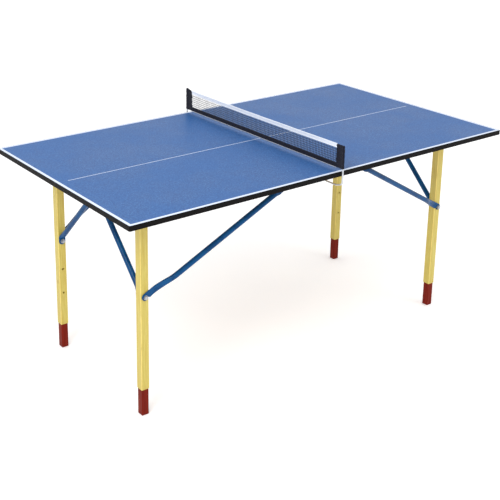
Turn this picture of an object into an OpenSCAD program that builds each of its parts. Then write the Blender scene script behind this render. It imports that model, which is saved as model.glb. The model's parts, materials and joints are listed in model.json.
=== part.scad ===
// Small folding table tennis table with a clip-on net.
// Long side along X, short side along Y, Z up, origin on the floor below the centre of the top.
// Two end frames (two wooden legs, a V of steel tubes and a hinge barrel) fold inward below the top.
// A hook-ended stay holds each leg open; it pivots below the top and hooks over the tie bolt.
// All sizes are millimetres.

/* [Top] */
// Length of the top
board_length = 1420; // [1380:10:1480]
// Width of the top
board_width = 755; // [740:5:780]
// Height of the playing surface above the floor
board_height = 645; // [630:5:650]
// Thickness of the top
board_thickness = 15; // [12:1:18]
// Width of the black edge band as seen from above
band_width = 1; // [0.8:0.1:2]
// Corner radius of the top
corner_radius = 4; // [3:1:16]
// Width of the white border line
border_line = 10; // [8:1:20]
// Width of the white centre line
centre_line = 2; // [2:1:6]
// Gap between each end of the centre line and the border
centre_gap = 26; // [10:2:40]

/* [Legs] */
// Side of the square wooden leg
leg_side = 25.5; // [22:0.5:28]
// Distance from the end of the top to the outer face of a leg
leg_inset_x = 113; // [110:1:120]
// Distance from the long side of the top to the outer face of a leg
leg_inset_y = 131; // [126:1:136]
// Length of the red dipped foot
foot_length = 82; // [60:2:100]
// How much narrower the foot is than the leg, on each side
foot_step = 1.5; // [0.5:0.1:2]
// Height of the bolt that ties leg, brace and stay together
tie_height = 365; // [355:5:370]
// Height of the lower blind hole
low_hole_height = 190; // [180:5:200]
// Height of the upper blind hole
high_hole_height = 270; // [260:5:280]

/* [Tubes] */
// Outside diameter of the steel tubes
tube_diameter = 16; // [14:1:17]
// Wall of the steel tubes
tube_wall = 1.2; // [1:0.1:2]
// Width of a flattened tube end
flat_width = 22; // [20:1:24]
// Thickness of a flattened tube end
flat_thickness = 3; // [2.5:0.1:3]
// Distance from the middle of the top, lengthwise, to the upper pin of a stay
stay_pin_x = 155; // [140:5:170]
// Distance from the middle of the top, sideways, to the eye of a stay
stay_pin_y = 310; // [300:2:320]
// Drop of the stay pin below the underside of the top
stay_pin_drop = 20; // [18:1:24]
// Radius of the hook at the lower end of a stay
hook_radius = 10; // [9:0.5:12]
// Half distance between the two points where the V meets its barrel
apex_half = 18; // [16:1:20]

/* [Net] */
// Height of the top edge of the net above the playing surface
net_height = 79.5; // [70:0.5:90]
// Height of the white top tape
top_tape = 13; // [10:1:20]
// Height of the black bottom tape
bottom_tape = 14; // [8:1:16]
// Gap between the playing surface and the bottom tape
net_gap = 8; // [4:1:10]
// Diameter of the bent wire of a net post
wire_diameter = 5; // [4:0.5:5]

/* [Hidden] */
$fn = 64;

blue = [0.36, 0.50, 0.73];
steel_blue = [0.08, 0.28, 0.55];
yellow = [0.86, 0.74, 0.30];
red = [0.58, 0.14, 0.08];
black = [0.08, 0.08, 0.12];
white = [0.93, 0.94, 0.95];
zinc = [0.72, 0.73, 0.75];
board_brown = [0.55, 0.43, 0.30];

half_leg = leg_side / 2;
leg_x = board_length / 2 - leg_inset_x - half_leg;
leg_y = board_width / 2 - leg_inset_y - half_leg;
outer_face = leg_y + half_leg;
inner_face = leg_y - half_leg;
underside = board_height - board_thickness;
// folded legs stop short of the middle of the top
pivot_z = min(leg_x - 6, underside - 30);
leg_top = underside - 2.5;
surface_film = 0.8;
line_film = 0.2;

tube_r = tube_diameter / 2;
bore_r = tube_r - tube_wall;
m8 = 4;
m6 = 3;
m10 = 5;
run = 0.05;
sheet = 2.5;
flange_z = underside - sheet;

// the V of an end frame
foot_y = inner_face - 10.5;
foot_z = tie_height + 20.5;
v_run = foot_y - apex_half;
v_rise = pivot_z - foot_z;
v_len = sqrt(v_run * v_run + v_rise * v_rise);
v_angle = atan2(v_run, v_rise);
barrel_r = 9;
barrel_half = 45.4;

// the stay
plate_y = outer_face + 1;
pin_z = underside - stay_pin_drop;
stay_dx = leg_x - stay_pin_x;
stay_dz = pin_z - tie_height;
stay_len = sqrt(stay_dx * stay_dx + stay_dz * stay_dz);
stay_angle = atan2(stay_dz, stay_dx);
// way in which the tie bolt leaves the hook when the frame starts to fold
fold_ratio = stay_angle / 90;
leave_x = -(pivot_z - tie_height) - fold_ratio * stay_dz;
leave_z = -fold_ratio * stay_dx;
leave_angle = atan2(leave_z, leave_x) + stay_angle;
// the tube runs outward from the plane of its hook to the plane of its eye
splay = plate_y + 11 - stay_pin_y;
tube_start = 30;
tube_end = stay_len - 100;
splay_angle = atan2(splay, stay_len);
plate_drop = plate_y - stay_pin_y;

// the net
net_top = board_height + net_height;
net_low = board_height + net_gap;
wire_r = wire_diameter / 2;
post_y = board_width / 2 + 7.5;
net_half = board_width / 2 - 20;
// bends of the spring hook below the top
hook_turn = 72;
hook_z = underside - 31;
slope_len = 18;
shoulder_z = hook_z + 14 - 4 * sin(hook_turn) + slope_len * cos(hook_turn);
sole_y = post_y - 10 - 4 * cos(hook_turn) - slope_len * sin(hook_turn);
toe_y = sole_y - 36;
tip_y = toe_y - 8 * cos(30);
tip_z = hook_z + 8 - 8 * sin(30);
tip_top = underside - wire_r;

screw_spots = concat(
  [for (sx = [-1, 1], sy = [-1, 1], dx = [-19, 19], dy = [12.5, 28.5])
    [sx * leg_x + dx, sy * (inner_face - dy)]],
  [for (sx = [-1, 1], sy = [-1, 1], dx = [-17, 17]) [sx * leg_x + dx, sy * 56]],
  [for (sx = [-1, 1], sy = [-1, 1], dx = [-18, 18], dy = [-13, 13])
    [sx * stay_pin_x + dx, sy * stay_pin_y + dy]]);

// ---------- helpers ----------

// puts children built for the back right quarter into another quarter
module quarter(sx, sy) {
  mirror([sx < 0 ? 1 : 0, 0, 0])
    mirror([0, sy < 0 ? 1 : 0, 0])
      children();
}

module round_rect(w, d, r) {
  union() {
    square([w - 2 * r, d], center = true);
    square([w, d - 2 * r], center = true);
    for (sx = [-1, 1], sy = [-1, 1])
      translate([sx * (w / 2 - r), sy * (d / 2 - r)])
        circle(r = r);
  }
}

// a flat outline in the XZ plane made y0 to y0 + t thick
module upright(y0, t) {
  translate([0, y0 + t, 0])
    rotate([90, 0, 0])
      linear_extrude(height = t)
        children();
}

module rod_y(r, y0, y1) {
  translate([0, y0, 0])
    rotate([-90, 0, 0])
      cylinder(r = r, h = y1 - y0);
}

module hex_y(af, y0, y1) {
  upright(y0, y1 - y0)
    polygon([for (i = [0:5]) [af / sqrt(3) * cos(60 * i), af / sqrt(3) * sin(60 * i)]]);
}

// nut with a pressed-on flange at its y1 side
module flange_nut(af, r, y0, y1) {
  difference() {
    union() {
      hex_y(af, y0, y1 - 1.2);
      rod_y(af * 0.68, y1 - 1.2, y1);
    }
    rod_y(r + run, y0 - 1, y1 + 1);
  }
}

// round wire through a list of [y, z] points
module wire(points) {
  for (i = [0 : len(points) - 2])
    hull() {
      translate([0, points[i][0], points[i][1]])
        sphere(r = wire_r, $fn = 16);
      translate([0, points[i + 1][0], points[i + 1][1]])
        sphere(r = wire_r, $fn = 16);
    }
}

// points on an arc in the YZ plane
function arc(y, z, bend, a0, a1, n) =
  [for (i = [0:n]) [y + bend * cos(a0 + (a1 - a0) * i / n), z + bend * sin(a0 + (a1 - a0) * i / n)]];

// ---------- top ----------

module top_outline(inset) {
  round_rect(board_length - 2 * inset, board_width - 2 * inset, corner_radius - min(inset, corner_radius - 1));
}

module board_core() {
  color(board_brown)
    difference() {
      translate([0, 0, underside])
        linear_extrude(height = board_thickness - surface_film - line_film)
          top_outline(band_width);
      for (p = screw_spots)
        translate([p[0], p[1], underside - 1])
          cylinder(r = 1.8, h = 12, $fn = 24);
    }
}

module playing_surface() {
  color(blue)
    translate([0, 0, board_height - surface_film - line_film])
      linear_extrude(height = surface_film)
        top_outline(band_width);
}

module court_lines() {
  color(white)
    translate([0, 0, board_height - line_film])
      linear_extrude(height = line_film)
        difference() {
          top_outline(band_width);
          square([board_length - 2 * border_line, board_width - 2 * border_line], center = true);
        }
}

module centre_stripe() {
  color(white)
    translate([0, 0, board_height - line_film])
      linear_extrude(height = line_film)
        square([board_length - 2 * border_line - 2 * centre_gap, centre_line], center = true);
}

module edge_band() {
  color(black)
    translate([0, 0, underside])
      linear_extrude(height = board_thickness)
        difference() {
          top_outline(0);
          top_outline(band_width);
        }
}

// ---------- brackets on the underside ----------

// angle bracket beside the inner face of a leg
module leg_hanger() {
  cheek = inner_face - 0.6 - sheet;
  color(steel_blue)
    difference() {
      union() {
        translate([leg_x, 0, 0])
          upright(cheek, sheet)
            union() {
              translate([0, pivot_z])
                circle(r = 15);
              translate([-15, pivot_z])
                square([30, underside - pivot_z]);
            }
        translate([leg_x - 27, cheek - 35, flange_z])
          cube([54, 35 + sheet, sheet]);
      }
      translate([leg_x, 0, pivot_z])
        rod_y(m8 + run, cheek - 1, cheek + sheet + 1);
      for (dx = [-19, 19], dy = [12.5, 28.5])
        translate([leg_x + dx, inner_face - dy, flange_z - 1])
          cylinder(r = 2.1, h = sheet + 2, $fn = 24);
    }
}

// two-cheek bracket that carries the hinge barrel of the V
module apex_hanger() {
  color(steel_blue)
    difference() {
      union() {
        for (sy = [-1, 1])
          translate([leg_x, 0, 0])
            upright(sy > 0 ? 46 : -49, 3)
              union() {
                translate([0, pivot_z])
                  circle(r = 13);
                translate([-13, pivot_z])
                  square([26, underside - pivot_z]);
              }
        translate([leg_x - 25, -64, flange_z])
          cube([50, 128, sheet]);
      }
      translate([leg_x, 0, pivot_z])
        rod_y(m10 + run, -60, 60);
      for (dx = [-17, 17], sy = [-1, 1])
        translate([leg_x + dx, sy * 56, flange_z - 1])
          cylinder(r = 2.1, h = sheet + 2, $fn = 24);
    }
}

// two-cheek bracket that carries the upper end of a stay
module stay_bracket() {
  color(steel_blue)
    difference() {
      union() {
        for (y0 = [2, -4.5])
          translate([stay_pin_x, stay_pin_y, 0])
            upright(y0, sheet)
              union() {
                translate([0, pin_z])
                  circle(r = 11);
                translate([-11, pin_z])
                  square([22, underside - pin_z]);
              }
        translate([stay_pin_x - 26, stay_pin_y - 20, flange_z])
          cube([52, 40, sheet]);
      }
      translate([stay_pin_x, stay_pin_y, pin_z])
        rod_y(m6 + run, -10, 10);
      for (dx = [-18, 18], dy = [-13, 13])
        translate([stay_pin_x + dx, stay_pin_y + dy, flange_z - 1])
          cylinder(r = 2.1, h = sheet + 2, $fn = 24);
    }
}

module bracket_screws() {
  color(zinc)
    for (p = screw_spots)
      translate([p[0], p[1], 0]) {
        difference() {
          union() {
            translate([0, 0, flange_z - 2])
              cylinder(r = 3.7, h = 2, $fn = 32);
            translate([0, 0, flange_z - 2])
              cylinder(r = 1.75, h = 12, $fn = 24);
          }
          translate([-2.4, -0.5, flange_z - 3])
            cube([4.8, 1, 2]);
          translate([-0.5, -2.4, flange_z - 3])
            cube([1, 4.8, 2]);
        }
      }
}

// ---------- fasteners ----------

module pivot_bolts() {
  color(zinc)
    for (sx = [-1, 1], sy = [-1, 1])
      quarter(sx, sy)
        translate([leg_x, 0, pivot_z]) {
          hex_y(13, outer_face - 6.6, outer_face - 1.3);
          rod_y(m8, inner_face - 13.5, outer_face - 6.5);
        }
}

module pivot_nuts() {
  color(zinc)
    for (sx = [-1, 1], sy = [-1, 1])
      quarter(sx, sy)
        translate([leg_x, 0, pivot_z])
          flange_nut(13, m8, inner_face - 11.1, inner_face - 0.6 - sheet);
}

module apex_bolts() {
  color(zinc)
    for (sx = [-1, 1])
      quarter(sx, 1)
        translate([leg_x, 0, pivot_z]) {
          hex_y(16, 49, 55.4);
          rod_y(m10, -61, 49.5);
        }
}

module apex_nuts() {
  color(zinc)
    for (sx = [-1, 1])
      quarter(sx, 1)
        translate([leg_x, 0, pivot_z])
          flange_nut(16, m10, -58, -49);
}

module stay_pins() {
  color(zinc)
    for (sx = [-1, 1], sy = [-1, 1])
      quarter(sx, sy)
        translate([stay_pin_x, stay_pin_y, pin_z]) {
          hex_y(10, 4.5, 8.5);
          rod_y(m6, -11.5, 5);
        }
}

module stay_nuts() {
  color(zinc)
    for (sx = [-1, 1], sy = [-1, 1])
      quarter(sx, sy)
        translate([stay_pin_x, stay_pin_y, pin_z])
          flange_nut(10, m6, -10, -4.5);
}

// ---------- end frame ----------

module leg() {
  color(yellow)
    difference() {
      translate([leg_x, leg_y, foot_length])
        linear_extrude(height = leg_top - foot_length)
          round_rect(leg_side, leg_side, 2);
      translate([leg_x, 0, pivot_z]) {
        rod_y(m8 + run, inner_face - 1, outer_face + 1);
        rod_y(9.5, outer_face - 7, outer_face + 1);
      }
      translate([leg_x, 0, tie_height])
        rod_y(m6 + run, inner_face - 1, outer_face + 1);
      for (z = [low_hole_height, high_hole_height])
        translate([leg_x, 0, z])
          rod_y(3.5, inner_face - 1, inner_face + 11);
    }
}

module foot() {
  side = leg_side - 2 * foot_step;
  color(red)
    difference() {
      translate([leg_x, leg_y, 0])
        linear_extrude(height = foot_length)
          round_rect(side, side, 2);
      for (a = [0:90:270])
        translate([leg_x, leg_y, 0])
          rotate([0, 0, a])
            translate([side / 2, 0, 0])
              rotate([0, 45, 0])
                cube([2.4, side + 2, 2.4], center = true);
    }
}

// tube with one flattened end bolted to the leg and one end welded to the barrel
module brace() {
  color(steel_blue)
    difference() {
      union() {
        translate([leg_x, 0, 0])
          upright(inner_face - flat_thickness, flat_thickness)
            union() {
              translate([0, tie_height])
                circle(r = flat_width / 2);
              translate([-flat_width / 2, tie_height])
                square([flat_width, 13]);
            }
        hull() {
          translate([leg_x - flat_width / 2, inner_face - flat_thickness, tie_height + 12])
            cube([flat_width, flat_thickness, 1]);
          translate([leg_x, foot_y, foot_z])
            rotate([v_angle, 0, 0])
              translate([0, 0, 3])
                cylinder(r = tube_r - 0.3, h = 1, $fn = 32);
        }
        translate([leg_x, foot_y, foot_z])
          rotate([v_angle, 0, 0])
            difference() {
              cylinder(r = tube_r, h = v_len);
              translate([0, 0, 5])
                cylinder(r = bore_r, h = v_len);
            }
      }
      translate([leg_x, 0, tie_height])
        rod_y(m6 + run, inner_face - 10, inner_face + 1);
      translate([leg_x, 0, pivot_z])
        rod_y(barrel_r, -barrel_half, barrel_half);
    }
}

module hinge_barrel() {
  color(steel_blue)
    translate([leg_x, 0, pivot_z])
      difference() {
        rod_y(barrel_r, -barrel_half, barrel_half);
        rod_y(m10 + run, -barrel_half - 1, barrel_half + 1);
      }
}

// the bolt carries the flattened end of the brace inside and the hook of the stay outside
module tie_bolts() {
  head = plate_y + flat_thickness + 0.4 + 1.2;
  color(zinc)
    for (sy = [-1, 1])
      quarter(1, sy)
        translate([leg_x, 0, tie_height]) {
          hex_y(10, head, head + 4.2);
          rod_y(m6, inner_face - flat_thickness - 8, head + 0.5);
        }
}

module washer(r, y0, t) {
  translate([leg_x, 0, tie_height])
    difference() {
      rod_y(r, y0, y0 + t);
      rod_y(m6 + run, y0 - 1, y0 + t + 1);
    }
}

module tie_washers() {
  color(zinc)
    for (sy = [-1, 1])
      quarter(1, sy) {
        washer(7.5, outer_face, 0.6);
        washer(6.5, plate_y + flat_thickness + 0.4, 1.2);
      }
}

module tie_nuts() {
  color(zinc)
    for (sy = [-1, 1])
      quarter(1, sy)
        translate([leg_x, 0, tie_height])
          flange_nut(10, m6, inner_face - flat_thickness - 6.2, inner_face - flat_thickness);
}

// ---------- stay ----------

// thin disc across the axis of the tube, at x along the stay
module tube_slice(x) {
  translate([x, x / stay_len * splay, 0])
    rotate([0, 90, splay_angle])
      cylinder(r = tube_r - 0.3, h = 1, $fn = 32);
}

// built along X from its eye, then turned down to the tie bolt
module stay() {
  color(steel_blue)
    translate([stay_pin_x, stay_pin_y, pin_z])
      rotate([0, stay_angle, 0])
        difference() {
          union() {
            upright(-flat_thickness / 2, flat_thickness)
              union() {
                circle(r = flat_width / 2);
                translate([0, -flat_width / 2])
                  square([18, flat_width]);
              }
            hull() {
              translate([17, -flat_thickness / 2, -flat_width / 2])
                cube([1, flat_thickness, flat_width]);
              tube_slice(tube_start + 3);
            }
            translate([tube_start, tube_start / stay_len * splay, 0])
              rotate([0, 90, splay_angle])
                cylinder(r = tube_r, h = (tube_end - tube_start) / cos(splay_angle));
            hull() {
              tube_slice(tube_end - 4);
              translate([stay_len - 20, plate_drop, -hook_radius])
                cube([1, flat_thickness, 2 * hook_radius]);
            }
            upright(plate_drop, flat_thickness)
              union() {
                translate([stay_len, 0])
                  circle(r = hook_radius);
                translate([stay_len - 20, -hook_radius])
                  square([20, 2 * hook_radius]);
              }
          }
          translate([tube_start + 6, (tube_start + 6) / stay_len * splay, 0])
            rotate([0, 90, splay_angle])
              cylinder(r = bore_r, h = tube_end - tube_start - 12);
          translate([tube_start + 14, (tube_start + 14) / stay_len * splay, -tube_r - 1])
            cylinder(r = 1.5, h = tube_r, $fn = 24);
          rod_y(m6 + run, -5, 5);
          upright(plate_drop - 1, flat_thickness + 2)
            translate([stay_len, 0])
              union() {
                circle(r = m6 + 0.7);
                rotate(leave_angle)
                  translate([0, -m6 - 0.7])
                    square([24, 2 * m6 + 1.4]);
              }
        }
}

// ---------- net ----------

module net_mesh() {
  color([0.25, 0.25, 0.30])
    translate([-0.5, -net_half, net_low + bottom_tape])
      cube([1, 2 * net_half, net_height - net_gap - top_tape - bottom_tape]);
}

module net_top_tape() {
  color(white)
    translate([0, -net_half, net_top - top_tape])
      rotate([-90, 0, 0])
        linear_extrude(height = 2 * net_half)
          translate([0, -top_tape / 2])
            round_rect(3.4, top_tape, 1.6);
}

module net_bottom_tape() {
  color(black)
    translate([0, -net_half, net_low])
      rotate([-90, 0, 0])
        linear_extrude(height = 2 * net_half)
          translate([0, -bottom_tape / 2])
            round_rect(2.6, bottom_tape, 1.2);
}

module net_bottom_cord() {
  color([0.8, 0.8, 0.82])
    translate([0, 0, net_low - 1.2])
      rod_y(1, -net_half, net_half);
}

// black hem that the post runs through, built for the back and mirrored for the front
module net_sleeve() {
  tall = net_height - net_gap - 1.5;
  color(black)
    difference() {
      union() {
        translate([-1.3, net_half, net_low])
          cube([2.6, post_y - net_half, tall]);
        translate([0, post_y, net_low])
          cylinder(r = wire_r + 1.1, h = tall);
      }
      translate([0, post_y, net_low - 1])
        cylinder(r = wire_r + run, h = tall + 2);
    }
}

// bent wire: upright in the sleeve, spring hook below the top
module net_post() {
  color(zinc)
    wire(concat(
      [[post_y, net_top - 5]],
      arc(post_y - 10, shoulder_z, 10, 0, -hook_turn, 4),
      arc(sole_y, hook_z + 14, 14, -hook_turn, -90, 1),
      arc(toe_y, hook_z + 8, 8, -90, -150, 3),
      [[tip_y - (tip_top - tip_z) / tan(60), tip_top]]));
}

board_core();
playing_surface();
court_lines();
centre_stripe();
edge_band();
quarter(-1, -1) leg_hanger();  // leg_hanger_front_left
quarter(-1, 1) leg_hanger();  // leg_hanger_back_left
quarter(1, -1) leg_hanger();  // leg_hanger_front_right
quarter(1, 1) leg_hanger();  // leg_hanger_back_right
quarter(-1, 1) apex_hanger();  // apex_hanger_left
quarter(1, 1) apex_hanger();  // apex_hanger_right
quarter(-1, -1) stay_bracket();  // stay_bracket_front_left
quarter(-1, 1) stay_bracket();  // stay_bracket_back_left
quarter(1, -1) stay_bracket();  // stay_bracket_front_right
quarter(1, 1) stay_bracket();  // stay_bracket_back_right
pivot_bolts();
pivot_nuts();
apex_bolts();
apex_nuts();
stay_pins();
stay_nuts();
bracket_screws();
net_mesh();
net_top_tape();
net_bottom_tape();
net_bottom_cord();
quarter(1, -1) net_sleeve();  // net_sleeve_front
quarter(1, 1) net_sleeve();  // net_sleeve_back
quarter(1, -1) net_post();  // net_post_front
quarter(1, 1) net_post();  // net_post_back
quarter(-1, -1) leg();  // leg_front_left
quarter(-1, 1) leg();  // leg_back_left
quarter(-1, -1) foot();  // foot_front_left
quarter(-1, 1) foot();  // foot_back_left
quarter(-1, -1) brace();  // brace_front_left
quarter(-1, 1) brace();  // brace_back_left
quarter(-1, 1) hinge_barrel();  // hinge_barrel_left
quarter(-1, 1) tie_bolts();  // tie_bolts_left
quarter(-1, 1) tie_washers();  // tie_washers_left
quarter(-1, 1) tie_nuts();  // tie_nuts_left
quarter(1, -1) leg();  // leg_front_right
quarter(1, 1) leg();  // leg_back_right
quarter(1, -1) foot();  // foot_front_right
quarter(1, 1) foot();  // foot_back_right
quarter(1, -1) brace();  // brace_front_right
quarter(1, 1) brace();  // brace_back_right
quarter(1, 1) hinge_barrel();  // hinge_barrel_right
tie_bolts();  // tie_bolts_right
tie_washers();  // tie_washers_right
tie_nuts();  // tie_nuts_right
quarter(-1, -1) stay();  // stay_front_left
quarter(-1, 1) stay();  // stay_back_left
quarter(1, -1) stay();  // stay_front_right
quarter(1, 1) stay();  // stay_back_right
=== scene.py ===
import json
import math

import bmesh
import bpy
import numpy as np
from mathutils import Matrix, Vector, noise


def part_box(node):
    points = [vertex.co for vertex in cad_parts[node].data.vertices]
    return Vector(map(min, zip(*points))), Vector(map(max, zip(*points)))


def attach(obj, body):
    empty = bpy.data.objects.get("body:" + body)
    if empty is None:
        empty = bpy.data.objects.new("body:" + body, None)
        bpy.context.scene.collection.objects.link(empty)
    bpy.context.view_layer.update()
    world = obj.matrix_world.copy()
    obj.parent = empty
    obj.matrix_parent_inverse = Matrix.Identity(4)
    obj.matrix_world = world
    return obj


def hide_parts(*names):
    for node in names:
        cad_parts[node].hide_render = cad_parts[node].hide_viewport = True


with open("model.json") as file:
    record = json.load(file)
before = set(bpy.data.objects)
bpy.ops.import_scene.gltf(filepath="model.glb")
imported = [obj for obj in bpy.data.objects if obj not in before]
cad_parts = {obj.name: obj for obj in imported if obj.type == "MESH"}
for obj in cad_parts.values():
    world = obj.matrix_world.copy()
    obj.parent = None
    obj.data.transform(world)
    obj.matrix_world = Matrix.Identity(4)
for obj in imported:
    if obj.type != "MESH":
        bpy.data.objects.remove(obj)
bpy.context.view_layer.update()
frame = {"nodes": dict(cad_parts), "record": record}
MM = 0.001

# ---------- places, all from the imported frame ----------

joint = {j["name"]: j for j in frame["record"]["behaviour"]["joints"]}
pivot_z = joint["fold_right"]["pos_m"][2]
pin_x, pin_y, pin_z = joint["stay_swing_back_right"]["pos_m"]
stay_ratio = joint["stay_swing_back_right"]["range_deg"][1] / 90
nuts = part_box("tie_nuts_right")
tie_z = (nuts[0].z + nuts[1].z) / 2
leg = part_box("leg_back_right")
leg_x, leg_y = (leg[0].x + leg[1].x) / 2, (leg[0].y + leg[1].y) / 2
half_leg = (leg[1].x - leg[0].x) / 2
inner_face, outer_face = leg[0].y, leg[1].y
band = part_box("edge_band")
under, top_z = band[0].z, band[1].z
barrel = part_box("hinge_barrel_right")
barrel_r = (barrel[1].z - barrel[0].z) / 2
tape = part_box("net_top_tape")
low_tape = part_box("net_bottom_tape")
net_half, net_top, tape_low = tape[1].y, tape[1].z, tape[0].z
net_low, low_tape_top = low_tape[0].z, low_tape[1].z
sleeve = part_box("net_sleeve_back")
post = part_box("net_post_back")
wire_r = post[1].x
post_y = post[1].y - wire_r
tube_r = 8 * MM


# ---------- materials ----------

def srgb(r, g, b):
    """An sRGB colour given as 0 to 255, in linear light."""
    lin = [c / 12.92 if c <= 0.04045 else ((c + 0.055) / 1.055) ** 2.4 for c in (r / 255, g / 255, b / 255)]
    return (*lin, 1.0)


class Paint:
    """A node material with one Principled shader. Coordinates are the row frame's, in metres."""

    def __init__(self, name, **fixed):
        self.m = bpy.data.materials.new("look_" + name)
        self.m.use_nodes = True
        self.t = self.m.node_tree
        self.t.nodes.clear()
        self.b = self.n("ShaderNodeBsdfPrincipled")
        out = self.n("ShaderNodeOutputMaterial")
        self.t.links.new(self.b.outputs[0], out.inputs[0])
        for k, v in fixed.items():
            self.b.inputs[k.replace("_", " ")].default_value = v
        self.co = self.n("ShaderNodeTexCoord").outputs["Object"]

    def n(self, kind, **props):
        node = self.t.nodes.new(kind)
        for k, v in props.items():
            setattr(node, k, v)
        return node

    def put(self, socket, v):
        if isinstance(v, bpy.types.NodeSocket):
            self.t.links.new(v, socket)
        else:
            socket.default_value = v

    def scaled(self, x, y, z, shift=(0, 0, 0)):
        m = self.n("ShaderNodeMapping")
        self.put(m.inputs["Vector"], self.co)
        m.inputs["Scale"].default_value = (x, y, z)
        m.inputs["Location"].default_value = shift
        return m.outputs[0]

    def noise(self, scale, detail=3.0, rough=0.5, at=None):
        t = self.n("ShaderNodeTexNoise")
        self.put(t.inputs["Vector"], at or self.co)
        t.inputs["Scale"].default_value = scale
        t.inputs["Detail"].default_value = detail
        t.inputs["Roughness"].default_value = rough
        return t.outputs["Fac"]

    def cells(self, scale, at=None, feature="F1", out="Distance"):
        t = self.n("ShaderNodeTexVoronoi", feature=feature)
        self.put(t.inputs["Vector"], at or self.co)
        t.inputs["Scale"].default_value = scale
        return t.outputs[out]

    def math(self, op, a, b=0.0, clamp=False):
        t = self.n("ShaderNodeMath", operation=op, use_clamp=clamp)
        self.put(t.inputs[0], a)
        self.put(t.inputs[1], b)
        return t.outputs[0]

    def fit(self, v, a, b, lo=0.0, hi=1.0):
        """v from a..b stretched smoothly to lo..hi."""
        t = self.n("ShaderNodeMapRange", interpolation_type="SMOOTHSTEP")
        self.put(t.inputs["Value"], v)
        for key, x in (("From Min", a), ("From Max", b), ("To Min", lo), ("To Max", hi)):
            t.inputs[key].default_value = x
        return t.outputs["Result"]

    def mix(self, f, a, b, how="MIX"):
        t = self.n("ShaderNodeMix", data_type="RGBA", blend_type=how)
        self.put(t.inputs["Factor"], f)
        self.put(t.inputs["A"], a)
        self.put(t.inputs["B"], b)
        return t.outputs["Result"]

    def xyz(self):
        s = self.n("ShaderNodeSeparateXYZ")
        self.put(s.inputs[0], self.co)
        return s.outputs

    def bump(self, height, dist, strength=1.0, after=None):
        t = self.n("ShaderNodeBump")
        t.inputs["Strength"].default_value = strength
        t.inputs["Distance"].default_value = dist
        self.put(t.inputs["Height"], height)
        if after is not None:
            self.put(t.inputs["Normal"], after)
        return t.outputs[0]

    def done(self, colour, rough, normal=None):
        self.put(self.b.inputs["Base Color"], colour)
        self.put(self.b.inputs["Roughness"], rough)
        if normal is not None:
            self.put(self.b.inputs["Normal"], normal)
        return self.m


def laminate():
    p = Paint("blue_laminate", Specular_IOR_Level=0.32)
    grain = p.noise(240, 3, 0.75)
    fine = p.noise(900, 2)
    cloud = p.noise(5, 3, 0.6)
    scuff = p.noise(34, 5, 0.7, p.scaled(1, 0.25, 1))
    colour = p.mix(p.fit(fine, 0.3, 0.7), srgb(18, 76, 138), srgb(36, 94, 158))
    colour = p.mix(p.fit(grain, 0.5, 0.66, 0, 0.8), colour, srgb(66, 118, 176))
    colour = p.mix(p.fit(grain, 0.48, 0.34, 0, 0.8), colour, srgb(4, 56, 116))
    colour = p.mix(p.fit(cloud, 0.35, 0.7, 0, 0.35), colour, srgb(40, 98, 166))
    colour = p.mix(p.fit(scuff, 0.66, 0.8, 0, 0.2), colour, srgb(92, 132, 180))
    rough = p.math("ADD", p.fit(cloud, 0.3, 0.7, 0.38, 0.46), p.fit(fine, 0.3, 0.7, -0.03, 0.03))
    return p.done(colour, rough, p.bump(p.noise(650, 2), 0.00012, 0.5))


def line_paint():
    p = Paint("white_line_paint", Specular_IOR_Level=0.4)
    wear = p.noise(160, 5, 0.7)
    colour = p.mix(p.fit(wear, 0.62, 0.78, 0, 0.5), srgb(214, 224, 242), srgb(160, 178, 208))
    return p.done(colour, p.fit(wear, 0.3, 0.7, 0.4, 0.6), p.bump(p.noise(700, 2), 0.0001, 0.4))


def edge_plastic():
    p = Paint("black_edge_plastic", Specular_IOR_Level=0.08)
    along = p.noise(300, 4, 0.6, p.scaled(0.12, 0.12, 1))
    scuff = p.noise(90, 5, 0.7)
    colour = p.mix(p.fit(along, 0.3, 0.7), srgb(6, 5, 6), srgb(14, 12, 12))
    colour = p.mix(p.fit(scuff, 0.64, 0.76, 0, 0.45), colour, srgb(52, 50, 49))
    return p.done(colour, p.fit(scuff, 0.3, 0.7, 0.42, 0.6), p.bump(along, 0.00015, 0.5))


def fibre():
    p = Paint("board_fibre", Specular_IOR_Level=0.2)
    flat = p.scaled(1, 0.55, 0.3)
    chip = p.math("MULTIPLY", p.cells(240, flat, out="Color"), 1.0)
    fine = p.noise(900, 4, 0.7)
    broad = p.noise(9, 3)
    colour = p.mix(p.fit(chip, 0.0, 1.0), srgb(122, 92, 58), srgb(186, 152, 106))
    colour = p.mix(p.fit(fine, 0.35, 0.75, 0, 0.7), colour, srgb(150, 118, 78))
    colour = p.mix(p.fit(broad, 0.3, 0.7, 0, 0.3), colour, srgb(104, 80, 54))
    return p.done(colour, p.fit(fine, 0.3, 0.7, 0.75, 0.92), p.bump(chip, 0.0003, 0.5, p.bump(fine, 0.0002, 0.6)))


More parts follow.
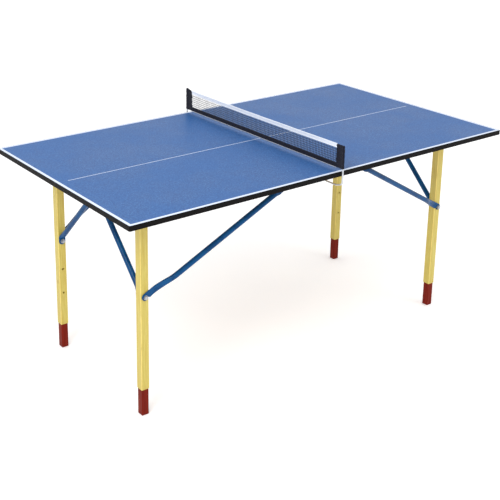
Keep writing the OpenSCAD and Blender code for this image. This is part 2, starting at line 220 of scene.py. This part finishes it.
def wood(name, light, dark, knot, edge, shine, gloss):
    p = Paint(name, Specular_IOR_Level=shine, Coat_Weight=shine * 0.4, Coat_Roughness=gloss)
    x, y, z = p.xyz()
    bend = p.n("ShaderNodeVectorMath", operation="ADD")
    wander = p.n("ShaderNodeTexNoise")
    p.put(wander.inputs["Vector"], p.scaled(8, 8, 4))
    wander.inputs["Scale"].default_value = 1.0
    shift = p.n("ShaderNodeVectorMath", operation="SCALE")
    p.put(shift.inputs[0], wander.outputs["Color"])
    shift.inputs["Scale"].default_value = 0.012
    p.put(bend.inputs[0], p.co)
    p.put(bend.inputs[1], shift.outputs[0])
    long = p.n("ShaderNodeMapping")
    p.put(long.inputs["Vector"], bend.outputs[0])
    long.inputs["Scale"].default_value = (1, 1, 0.035)
    grain = p.noise(420, 5, 0.6, long.outputs[0])
    broad = p.noise(120, 3, 0.5, long.outputs[0])
    pore = p.noise(1500, 2, 0.5, long.outputs[0])
    colour = p.mix(p.fit(grain, 0.32, 0.68), light, dark)
    colour = p.mix(p.fit(broad, 0.38, 0.72, 0, 0.45), colour, dark)
    colour = p.mix(p.fit(pore, 0.62, 0.74, 0, 0.35), colour, knot)
    spot = p.cells(13, p.scaled(1, 1, 0.4, (0.013, 0.021, 0.017)))
    colour = p.mix(p.fit(spot, 0.05, 0.025, 0, 0.7), colour, knot)
    # painted highlight: a lighter colour along the four long edges, broken into patches
    past = []
    for across, middle in ((x, leg_x), (y, leg_y)):
        off = p.math("ABSOLUTE", p.math("SUBTRACT", p.math("ABSOLUTE", across), middle))
        past.append(p.math("SUBTRACT", off, half_leg - 1.6 * MM))
    edge_highlight = p.fit(p.math("MINIMUM", *past), -0.5 * MM, 1.0 * MM, 0, 0.75)
    patchy = p.fit(p.noise(45, 4, 0.6), 0.3, 0.6, 0.35, 1.0)
    colour = p.mix(p.math("MULTIPLY", edge_highlight, patchy), colour, edge)
    rough = p.fit(grain, 0.3, 0.7, 0.36, 0.5)
    return p.done(colour, rough, p.bump(pore, 0.0003, 0.5, p.bump(grain, 0.0004, 0.5)))


def steel_paint():
    p = Paint("blue_painted_steel", Specular_IOR_Level=0.12, Coat_Weight=0.08, Coat_Roughness=0.05)
    peel = p.noise(520, 2)
    cloud = p.noise(26, 3)
    chip = p.noise(240, 5, 0.75)
    colour = p.mix(p.fit(cloud, 0.3, 0.7), srgb(0, 56, 102), srgb(3, 72, 122))
    colour = p.mix(p.fit(chip, 0.69, 0.73, 0, 0.5), colour, srgb(96, 106, 120))
    rough = p.fit(cloud, 0.3, 0.7, 0.24, 0.34)
    return p.done(colour, rough, p.bump(peel, 0.0002, 0.45))


def zinc():
    p = Paint("zinc_steel", Metallic=0.95)
    spangle = p.math("MULTIPLY", p.cells(700, out="Color"), 1.0)
    fine = p.noise(1800, 3)
    rust = p.noise(240, 5, 0.75)
    colour = p.mix(spangle, srgb(150, 154, 160), srgb(186, 189, 192))
    colour = p.mix(p.fit(rust, 0.66, 0.78, 0, 0.5), colour, srgb(140, 120, 96))
    return p.done(colour, p.fit(fine, 0.3, 0.7, 0.28, 0.44), p.bump(fine, 0.00008, 0.5))


def bright_wire():
    p = Paint("bright_wire", Metallic=0.9)
    drawn = p.noise(1400, 3, 0.5, p.scaled(1, 1, 0.05))
    dull = p.noise(60, 4, 0.6)
    colour = p.mix(p.fit(drawn, 0.3, 0.7), srgb(178, 182, 188), srgb(216, 219, 224))
    colour = p.mix(p.fit(dull, 0.55, 0.8, 0, 0.5), colour, srgb(150, 152, 156))
    return p.done(colour, p.fit(dull, 0.3, 0.7, 0.22, 0.38), p.bump(drawn, 0.00006, 0.5))


def weave(name, light, dark, pitch, hem=(), thread=None, rough=0.85, sheen=0.3):
    """Woven tape in the YZ plane. hem lists heights of stitch lines, in metres."""
    p = Paint(name, Specular_IOR_Level=0.25, Sheen_Weight=sheen)
    x, y, z = p.xyz()
    warp = p.math("SINE", p.math("MULTIPLY", y, 2 * math.pi / pitch))
    weft = p.math("SINE", p.math("MULTIPLY", z, 2 * math.pi / pitch))
    over = p.math("MULTIPLY", warp, weft)
    lint = p.noise(600, 4, 0.7)
    slub = p.noise(40, 4, 0.6, p.scaled(1, 0.4, 2.5))
    # the colour follows the weave's rise: its low points are painted darker, a painted shade in the hollows between
    # threads
    colour = p.mix(p.fit(over, -1, 1), dark, light)
    colour = p.mix(p.fit(slub, 0.35, 0.7, 0, 0.3), colour, dark)
    height = p.math("ADD", over, p.math("MULTIPLY", lint, 0.8))
    for at in hem:
        near = p.fit(p.math("ABSOLUTE", p.math("SUBTRACT", z, at)), 0.75 * MM, 0.35 * MM)
        dash = p.fit(p.math("SINE", p.math("MULTIPLY", y, 2 * math.pi / (3.2 * MM))), -0.5, 0.1)
        stitch = p.math("MULTIPLY", near, dash)
        colour = p.mix(stitch, colour, thread)
        height = p.math("ADD", height, p.math("MULTIPLY", stitch, 3.0))
    return p.done(colour, p.fit(lint, 0.3, 0.7, rough - 0.08, rough), p.bump(height, 0.00012, 0.7))


def cord_look(name, light, dark, rough):
    p = Paint(name, Specular_IOR_Level=0.25, Sheen_Weight=0.2)
    twist = p.noise(1200, 3, 0.6, p.scaled(1, 0.5, 1))
    slow = p.noise(70, 3)
    colour = p.mix(p.fit(twist, 0.3, 0.7), dark, light)
    colour = p.mix(p.fit(slow, 0.4, 0.75, 0, 0.4), colour, dark)
    return p.done(colour, p.fit(twist, 0.3, 0.7, rough - 0.1, rough), p.bump(twist, 0.0002, 0.6))


look = {
    "board_fibre": fibre(),
    "blue_laminate": laminate(),
    "white_line_paint": line_paint(),
    "black_edge_plastic": edge_plastic(),
    "blue_painted_steel": steel_paint(),
    "zinc_steel": zinc(),
    "bright_wire": bright_wire(),
    "net_cord": cord_look("net_cord", srgb(16, 18, 42), srgb(6, 8, 24), 0.8),
    "white_tape": weave("white_tape", srgb(240, 244, 250), srgb(214, 220, 232), 0.9 * MM,
                        (tape_low + 1.8 * MM,), srgb(250, 250, 252)),
    "black_tape": weave("black_tape", srgb(8, 11, 34), srgb(3, 5, 18), 0.9 * MM,
                        (net_low + 1.6 * MM, low_tape_top - 1.6 * MM), srgb(34, 34, 50), 0.9, 0.08),
    "grey_cord": cord_look("grey_cord", srgb(206, 210, 218), srgb(150, 154, 166), 0.75),
    # the fifth colour of each wood is the painted highlight along the legs' long edges
    "yellow_wood": wood("yellow_wood", srgb(198, 184, 96), srgb(184, 162, 70), srgb(146, 100, 36),
                        srgb(244, 218, 128), 0.35, 0.22),
    "red_wood": wood("red_wood", srgb(122, 31, 17), srgb(98, 20, 9), srgb(60, 13, 8),
                     srgb(158, 60, 42), 0.06, 0.2),
}

# every CAD node takes the detailed look of its own slot
for node in frame["nodes"].values():
    for s in node.material_slots:
        s.material = look[s.material.name]


# ---------- mesh tools ----------

def build(name, verts, faces, body, slot, stands_for=(), crease=38):
    me = bpy.data.meshes.new(name)
    me.from_pydata([tuple(v) for v in verts], [], faces)
    bm = bmesh.new()
    bm.from_mesh(me)
    bmesh.ops.remove_doubles(bm, verts=bm.verts, dist=1e-7)
    bmesh.ops.recalc_face_normals(bm, faces=bm.faces)
    bm.to_mesh(me)
    bm.free()
    me.materials.append(look[slot])
    me.polygons.foreach_set("use_smooth", [True] * len(me.polygons))
    me.set_sharp_from_angle(angle=math.radians(crease))
    o = bpy.data.objects.new(name, me)
    bpy.context.scene.collection.objects.link(o)
    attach(o, body)
    if stands_for:
        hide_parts(*stands_for)
    return o


class Shape:
    """Rings joined into skins, collected into one mesh."""

    def __init__(self):
        self.v, self.f = [], []

    def loft(self, rings, closed=False, caps=True):
        n, first = len(rings[0]), len(self.v)
        for r in rings:
            self.v += [Vector(p) for p in r]
        count = len(rings) if closed else len(rings) - 1
        for i in range(count):
            a, b = first + i * n, first + (i + 1) % len(rings) * n
            self.f += [(a + j, a + (j + 1) % n, b + (j + 1) % n, b + j) for j in range(n)]
        if caps and not closed:
            self.f.append(tuple(range(first, first + n))[::-1])
            self.f.append(tuple(range(first + (len(rings) - 1) * n, first + len(rings) * n)))

    def tube(self, path, r, sides=12, closed=False, caps=True, across=Vector((1, 0, 0)), round_ends=False):
        path = [Vector(p) for p in path]
        rings, n = [], len(path)
        for i, p in enumerate(path):
            before, after = path[i - 1 if closed or i else 0], path[(i + 1) % n if closed else min(i + 1, n - 1)]
            d = (after - before).normalized()
            v = d.cross(across).normalized()
            u = v.cross(d)
            rings.append((p, u, v, r, d))
        if round_ends:
            p, u, v, r0, d = rings[0]
            head = [(p - d * r0 * math.sin(t), u, v, r0 * math.cos(t), d) for t in (1.45, 1.1, 0.7, 0.35)]
            p, u, v, r0, d = rings[-1]
            tail = [(p + d * r0 * math.sin(t), u, v, r0 * math.cos(t), d) for t in (0.35, 0.7, 1.1, 1.45)]
            rings = head + rings + tail
        self.loft([[p + (u * math.cos(a) + v * math.sin(a)) * q for a in turn(sides)] for p, u, v, q, d in rings],
                  closed, caps)


def turn(n):
    return [2 * math.pi * i / n for i in range(n)]


def mixed(a, b, t):
    return a + (b - a) * t


def ease(t):
    t = min(max(t, 0), 1)
    return t * t * (3 - 2 * t)


def oval(p, u, v, w, t, r):
    """A ring: w by t rectangle with corners of radius r, in the plane of u and v."""
    r = min(r, w / 2, t / 2)
    ring = []
    for k, (a, b) in enumerate(((1, 1), (-1, 1), (-1, -1), (1, -1))):
        for i in range(8):
            q = math.pi / 2 * (k + i / 7)
            ring.append(p + u * (a * (w / 2 - r) + r * math.cos(q)) + v * (b * (t / 2 - r) + r * math.sin(q)))
    return ring


def arc(c, r, a0, a1, n):
    return [(c[0] + r * math.cos(math.radians(mixed(a0, a1, i / n))),
             c[1] + r * math.sin(math.radians(mixed(a0, a1, i / n)))) for i in range(n + 1)]


def shiver(*at):
    return noise.noise(Vector(at))


# flattened tube ends: width, thickness, edge radius, and where the rings of the rounded end lie
FLAT_W, FLAT_T, FLAT_R = 22 * MM, 3 * MM, 1.3 * MM
END_STEPS = (-0.995, -0.94, -0.82, -0.65, -0.4, 0)
LEAST_ROUND = 0.17
X = Vector((1, 0, 0))
Y = Vector((0, 1, 0))
SIDES, ENDS = {-1: "left", 1: "right"}, {-1: "front", 1: "back"}


# ---------- braces: tube with a flattened lower end, welded to the hinge barrel ----------

# where the tube of a brace starts, inward of the leg and above the tie bolt, and half the spread at the barrel
FOOT_IN, FOOT_UP, APEX_HALF = 10.5 * MM, 20.5 * MM, 18 * MM


def brace(sx, sy):
    side, end = SIDES[sx], ENDS[sy]
    foot = Vector((0, inner_face - FOOT_IN, tie_z + FOOT_UP))
    apex = Vector((0, APEX_HALF, pivot_z))
    d = (apex - foot).normalized()
    run = (apex - foot).length
    flat_y = inner_face - FLAT_T / 2 - 0.02 * MM
    rings = []
    for t in END_STEPS:
        w = FLAT_W * math.sqrt(1 - t * t)
        rings.append(oval(Vector((0, flat_y, tie_z + t * FLAT_W / 2)), X, Y, w, FLAT_T, FLAT_R))
    # the walls part and the tube leans towards the barrel
    a, b = Vector((0, flat_y, tie_z + 10 * MM)), foot + d * 9 * MM
    c1, c2 = a + Vector((0, 0, 7 * MM)), b - d * 9 * MM
    last = a
    for i in range(15):
        t = i / 14
        p = a * (1 - t) ** 3 + c1 * 3 * t * (1 - t) ** 2 + c2 * 3 * t * t * (1 - t) + b * t ** 3
        q = (c1 - a) * (1 - t) ** 2 + (c2 - c1) * 2 * t * (1 - t) + (b - c2) * t * t
        v = X.cross(q.normalized()) * -1
        s = ease(t)
        rings.append(oval(p, X, v, mixed(FLAT_W, 2 * tube_r, s), mixed(FLAT_T, 2 * tube_r, s),
                          tube_r * max(s, LEAST_ROUND)))
        last = v
    for s in (0.25, 0.5, 0.75, 0.93):
        rings.append(oval(foot + d * run * s, X, last, 2 * tube_r, 2 * tube_r, tube_r))
    # cut to the shape of the barrel
    seat, bead = [], []
    for p in oval(foot + d * run * 0.93, X, last, 2 * tube_r, 2 * tube_r, tube_r):
        for out, r in ((seat, barrel_r - 0.6 * MM), (bead, barrel_r + 0.1 * MM)):
            z = pivot_z - math.sqrt(max(r * r - p.x * p.x, 0))
            out.append(p + d * ((z - p.z) / d.z))
    rings.append(seat)
    s = Shape()
    s.loft(rings)
    ring = [p for i, p in enumerate(bead) if i % 8 != 7]
    ripple = []
    for i, p in enumerate(ring):
        away = (p - (foot + d * (p - foot).dot(d))).normalized()
        go = (ring[(i + 1) % len(ring)] - ring[i - 1]).normalized()
        up = away.cross(go).normalized()
        r = (1.7 + 0.35 * math.sin(i * 2.2)) * MM
        ripple.append([p + (away * math.cos(t) + up * math.sin(t)) * r for t in turn(8)])
    s.loft(ripple, closed=True)
    verts = [Vector((sx * (leg_x + p.x), sy * p.y, p.z)) for p in s.v]
    name = f"brace_{end}_{side}"
    build("tube_" + name, verts, s.f, "end_frame_" + side, "blue_painted_steel", (name,))


for sx in (-1, 1):
    for sy in (-1, 1):
        brace(sx, sy)


# ---------- stays: splayed tube with a flattened eye above and an open hook below ----------

# radius of the hook, half width of its slot, its gap to the leg, and how far outward of it the tube lies
HOOK_R, SLOT, HOOK_GAP, HOOK_OFFSET = 10 * MM, 3.7 * MM, 1 * MM, 11 * MM
PLATE_BACK = 19 * MM


def stay(sx, sy):
    side, end = SIDES[sx], ENDS[sy]
    plate_y = outer_face + HOOK_GAP
    pin, tie = Vector((pin_x, pin_y, pin_z)), Vector((leg_x, pin_y, tie_z))
    a = (tie - pin).normalized()
    long = (tie - pin).length
    b = Vector((-a.z, 0, a.x))
    splay = (plate_y + HOOK_OFFSET - pin_y) / long
    hook = Y * (plate_y + FLAT_T / 2 - pin_y)
    s = Shape()
    rings = []
    for t in END_STEPS:
        rings.append(oval(pin + a * t * FLAT_W / 2, b, Y, FLAT_W * math.sqrt(1 - t * t), FLAT_T, FLAT_R))
    for i in range(13):
        q = ease(i / 12)
        x = mixed(16, 36, i / 12) * MM
        rings.append(oval(pin + a * x + Y * splay * x * q, b, Y, mixed(FLAT_W, 2 * tube_r, q),
                          mixed(FLAT_T, 2 * tube_r, q), tube_r * max(q, LEAST_ROUND)))
    for t in (0.25, 0.5, 0.75):
        rings.append(oval(pin + (a + Y * splay) * long * t, b, Y, 2 * tube_r, 2 * tube_r, tube_r))
    for i in range(21):
        q = ease(i / 20)
        x = long - mixed(103, 18, i / 20) * MM
        rings.append(oval(pin + a * x + (Y * splay * x).lerp(hook, q), b, Y, mixed(2 * tube_r, 2 * HOOK_R, q),
                          mixed(2 * tube_r, FLAT_T, q), tube_r * max(1 - q, LEAST_ROUND)))
    rings.append(oval(tie - a * 13 * MM + hook, b, Y, 2 * HOOK_R - 0.3 * MM, FLAT_T - 0.1 * MM, FLAT_R))
    s.loft(rings)
    # the hook: a plate with a slot that lets the bolt out as the frame folds
    bolt = Vector((-(pivot_z - tie_z), 0, 0))
    own = Vector((pin_z - tie_z, 0, leg_x - pin_x)) * stay_ratio
    out = (bolt - own).normalized()
    mouth = math.degrees(math.atan2(out.dot(b), out.dot(a)))
    m = Vector((math.cos(math.radians(mouth)), math.sin(math.radians(mouth))))
    slot_end = arc((0, 0), SLOT, mouth + 90, mouth + 270, 20)
    lip, heel = [(x + m.x * (-HOOK_R - y) / m.y, -HOOK_R) for x, y in (slot_end[0], slot_end[-1])]
    tip = arc((0, 0), HOOK_R, 90, -90, 30)
    line = [(-PLATE_BACK, HOOK_R), *tip, lip, *slot_end, heel, (-PLATE_BACK, -HOOK_R)]
    pts = [Vector(p) for p in line]
    n = len(pts)
    rings = []
    for away, inset in ((0.0, 0.35 * MM), (0.35 * MM, 0.0), (FLAT_T - 0.35 * MM, 0.0), (FLAT_T, 0.35 * MM)):
        ring = []
        for i, p in enumerate(pts):
            g = (pts[(i + 1) % n] - pts[i - 1]).normalized()
            q = p + Vector((g.y, -g.x)) * inset
            ring.append(tie + Y * (plate_y - pin_y + away) + a * q.x + b * q.y)
        rings.append(ring)
    s.loft(rings)
    name = f"stay_{end}_{side}"
    verts = [Vector((sx * p.x, sy * p.y, p.z)) for p in s.v]
    build("tube_" + name, verts, s.f, f"stay_arm_{end}_{side}", "blue_painted_steel", (name,))


for sx in (-1, 1):
    for sy in (-1, 1):
        stay(sx, sy)


# ---------- net posts: one bent wire, upright above and spring hook below ----------

HOOK_DROP, SLOPE_TURN, SLOPE_LEN, SOLE_LEN = 31 * MM, 72, 18 * MM, 36 * MM
SHOULDER_R, SOLE_R, TOE_R = 10 * MM, 14 * MM, 8 * MM
TIP_CLEAR = 0.4 * MM
down, along = math.cos(math.radians(SLOPE_TURN)), math.sin(math.radians(SLOPE_TURN))
hook_z = under - HOOK_DROP
shoulder_z = hook_z + SOLE_R - (SOLE_R - SHOULDER_R) * along + SLOPE_LEN * down
sole_y = post_y - SHOULDER_R - (SOLE_R - SHOULDER_R) * down - SLOPE_LEN * along
toe_y = sole_y - SOLE_LEN
tip_y = toe_y - TOE_R * math.cos(math.radians(30))
tip_z = hook_z + TOE_R - TOE_R * math.sin(math.radians(30))
tip_top = under - wire_r

for sy, end in ENDS.items():
    line = [(post_y, post[1].z - wire_r)]
    line += arc((post_y - SHOULDER_R, shoulder_z), SHOULDER_R, 0, -SLOPE_TURN, 14)
    line += arc((sole_y, hook_z + SOLE_R), SOLE_R, -SLOPE_TURN, -90, 5)
    line += arc((toe_y, hook_z + TOE_R), TOE_R, -90, -150, 10)
    rise = tip_top - tip_z - TIP_CLEAR
    line.append((tip_y - rise / math.tan(math.radians(60)), tip_top - TIP_CLEAR))
    s = Shape()
    s.tube([(0, sy * y, z) for y, z in line], wire_r, 16, round_ends=True)
    build(f"wire_net_post_{end}", s.v, s.f, "table_top", "bright_wire", (f"net_post_{end}",))


# ---------- net: knotted cord, hemmed above and below ----------

def sway(y, z, k):
    """How far the stretched net stands off its middle plane."""
    free = math.sin(math.pi * min(max((y + net_half) / (2 * net_half), 0), 1))
    return (1.3 * shiver(y * 9, z * 12, 3.1) * free + 0.25 * shiver(y * 60, z * 60, k)) * MM


def sag(y):
    """The top edge hangs a little between its posts."""
    u = y / net_half
    return -(1.6 * (1 - u * u) + 0.35 * shiver(y * 16, 7.7, 0)) * MM


cell = 6.5 * MM
cols = round(2 * net_half / cell)
gap_z = tape_low - low_tape_top
rows = round(gap_z / cell)
s = Shape()
r_cord = 0.6 * MM


def knot_at(i, j):
    y = mixed(-net_half, net_half, i / cols)
    t = j / rows
    z = mixed(low_tape_top - 1.2 * MM, tape_low + 1.2 * MM + sag(y), t)
    return Vector((sway(y, z, 1), y + 0.5 * MM * shiver(i * 1.7, j * 2.3, 5),
                   z + 0.4 * MM * shiver(i * 2.1, j * 1.3, 9)))


for i in range(cols + 1):
    s.tube([knot_at(i, j) for j in range(rows + 1)], r_cord, 5, caps=False)
for j in range(1, rows):
    s.tube([knot_at(i, j) for i in range(cols + 1)], r_cord, 5, caps=False)
# a small knot at each crossing
for i in range(1, cols):
    for j in range(1, rows):
        p = knot_at(i, j)
        k = Vector((0, 1, 1)).normalized() * 0.7 * MM
        s.tube([p - k, p, p + k], r_cord * 1.4, 5, caps=True)
net = build("net_cords", s.v, s.f, "table_top", "net_cord", ("net_mesh",), 60)


def tape_strip(name, low, high, slot, node, fold_up, hang, bead_r, flat_t, k):
    """A strip folded over the net's edge. fold_up says whether its folded edge is the upper one."""
    n, rings = 180, []
    for i in range(n + 1):
        y = mixed(-net_half, net_half, i / n)
        drop = sag(y) if hang else 0
        x0 = sway(y, high if hang else low, 1)
        ring = []
        h = high - low
        steps = 9
        side = []
        for j in range(steps + 1):
            t = j / steps
            from_fold = (1 - t) * h if fold_up else t * h
            if from_fold < bead_r:
                half = math.sqrt(max(bead_r ** 2 - (bead_r - from_fold) ** 2, 0)) + 0.08 * MM
            else:
                q = ease((from_fold - bead_r) / (2.2 * bead_r))
                half = mixed(bead_r, flat_t / 2, q)
            half *= 1 + 0.16 * shiver(y * 70, t * 3, k)
            lean = 0.45 * MM * shiver(y * 22, t * 1.5, k + 4)
            side.append((low + t * h + drop, half, lean))
        ring += [Vector((x0 + lean + half, y, z)) for z, half, lean in side]
        ring += [Vector((x0 + lean - half, y, z)) for z, half, lean in side[::-1]]
        rings.append(ring)
    s = Shape()
    s.loft(rings)
    return build(name, s.v, s.f, "table_top", slot, (node,), 50)


top_tape = tape_strip("tape_net_top", tape_low, net_top - 0.2 * MM, "white_tape", "net_top_tape", True, True,
                      1.8 * MM, 1.9 * MM, 2)
bottom_tape = tape_strip("tape_net_bottom", net_low, low_tape_top, "black_tape", "net_bottom_tape", False, False,
                         1.25 * MM, 1.7 * MM, 12)

# two-ply cord along the foot of the net
cord_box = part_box("net_bottom_cord")
cord_z = (cord_box[0].z + cord_box[1].z) / 2
s = Shape()
turns = 88
for ply in (0, math.pi):
    path = []
    for i in range(turns * 8 + 1):
        y = mixed(cord_box[0].y, cord_box[1].y, i / (turns * 8))
        q = 2 * math.pi * i / 8 + ply
        path.append((0.45 * MM * math.cos(q) + sway(y, net_low, 1), y, cord_z + 0.45 * MM * math.sin(q)))
    s.tube(path, 0.55 * MM, 6, across=Vector((0.3, 0, 0.95)))
foot_cord = build("cord_net_bottom", s.v, s.f, "table_top", "grey_cord", ("net_bottom_cord",), 60)


# ---------- sleeves: gathered hems that the posts run through ----------

def gathered(sy):
    end = ENDS[sy]
    z0, z1 = sleeve[0].z, sleeve[1].z
    y0 = net_half - 1.5 * MM
    around = 3.4 * MM
    rings, n = [], 64
    for i in range(n + 1):
        t = i / n
        z = mixed(z0, z1, t)
        pinch = 0.5 + 0.5 * math.sin(t * 2 * math.pi * 4.5 + 1.3 * sy)
        pinch = 0.65 * pinch + 0.35 * (0.5 + shiver(t * 14, sy * 3, 2.2))
        wide = around * (0.92 + 0.16 * pinch)
        thick = (0.85 + 0.75 * pinch) * MM
        free = y0 + (1.4 * (1 - pinch) - 0.4) * MM * ease(min(t, 1 - t) * 8)
        drift = 0.5 * MM * shiver(t * 6, sy * 5, 8)
        close = 1 - 0.35 * ease((abs(t - 0.5) - 0.46) / 0.04)
        ring = []
        for a in np.linspace(-130, 130, 18):
            q = math.radians(a)
            fold = 1 + 0.05 * math.sin(q * 6 + t * 20) * pinch
            ring.append((wide * fold * close * math.sin(q) + drift, post_y + wide * fold * close * math.cos(q)))
        y_in = ring[-1][1]
        for u in np.linspace(0.12, 1, 9):
            ring.append((mixed(ring[17][0], thick * close + drift, ease(u * 1.8)) + 0.3 * MM * shiver(u * 5, t * 16, 3),
                         mixed(y_in, free, u)))
        for u in np.linspace(1, 0.12, 9):
            ring.append((mixed(ring[0][0], -thick * close + drift, ease(u * 1.8)) + 0.3 * MM * shiver(u * 5, t * 16, 6),
                         mixed(y_in, free, u)))
        peak = 4.5 * MM * (sy > 0) * ease((t - 0.9) / 0.1)
        rings.append([Vector((x, sy * y, z + peak * ease((y - y0) / (post_y - y0)))) for x, y in ring])
    s = Shape()
    s.loft(rings)
    return build(f"hem_net_{end}", s.v, s.f, "table_top", "black_tape", (f"net_sleeve_{end}",), 60)


hems = [gathered(-1), gathered(1)]


# ---------- studio ----------

def floor():
    n, r = 96, 9.0
    verts = [(0, 0, 0)] + [(r * math.cos(a), r * math.sin(a), 0) for a in turn(n)]
    me = bpy.data.meshes.new("studio_floor")
    me.from_pydata(verts, [], [(0, i + 1, (i + 1) % n + 1) for i in range(n)])
    p = Paint("floor", Specular_IOR_Level=0.1, Emission_Color=(1, 1, 1, 1), Emission_Strength=0.22)
    me.materials.append(p.done(p.mix(p.fit(p.noise(3, 2), 0.3, 0.7), srgb(244, 244, 245), srgb(248, 248, 248)), 0.8))
    o = bpy.data.objects.new("studio_floor", me)
    bpy.context.scene.collection.objects.link(o)


floor()
world = bpy.data.worlds.new("studio")
world.use_nodes = True
world.node_tree.nodes["Background"].inputs[0].default_value = (1.0, 1.0, 1.0, 1.0)
world.node_tree.nodes["Background"].inputs[1].default_value = 1.0
bpy.context.scene.world = world
bpy.context.scene.view_settings.view_transform = "Standard"


def area(name, at, to, size, watts):
    data = bpy.data.lights.new(name, "AREA")
    data.shape = "DISK"
    data.size = size
    data.energy = watts
    o = bpy.data.objects.new(name, data)
    o.location = at
    o.rotation_euler = (Vector(to) - Vector(at)).to_track_quat("-Z", "Y").to_euler()
    bpy.context.scene.collection.objects.link(o)


middle = (0, 0, top_z * 0.6)
area("key", (-2.6, -1.4, 2.6), middle, 1.6, 50)
area("fill", (1.8, -2.8, 1.8), middle, 2.0, 18)

# camera: an off-centre crop of a wider view, so the lens shift carries the offset
cam_data = bpy.data.cameras.new("camera")
cam_data.sensor_width = 36
cam_data.lens = 71.884
cam_data.shift_x, cam_data.shift_y = 0.1, -0.26
cam_data.clip_end = 60
camera = bpy.data.objects.new("camera", cam_data)
az, el, roll = (math.radians(v) for v in (-35.9505, 16.4244, 0.3495))
back = Vector((math.sin(az) * math.cos(el), -math.cos(az) * math.cos(el), math.sin(el)))
right = (-back).cross(Vector((0, 0, 1))).normalized()
up = right.cross(-back)
r2 = right * math.cos(roll) + up * math.sin(roll)
u2 = -right * math.sin(roll) + up * math.cos(roll)
camera.matrix_world = Matrix.Translation((-1.9068, -2.32, 1.589)) @ Matrix((r2, u2, back)).transposed().to_4x4()
bpy.context.scene.collection.objects.link(camera)
bpy.context.scene.camera = camera
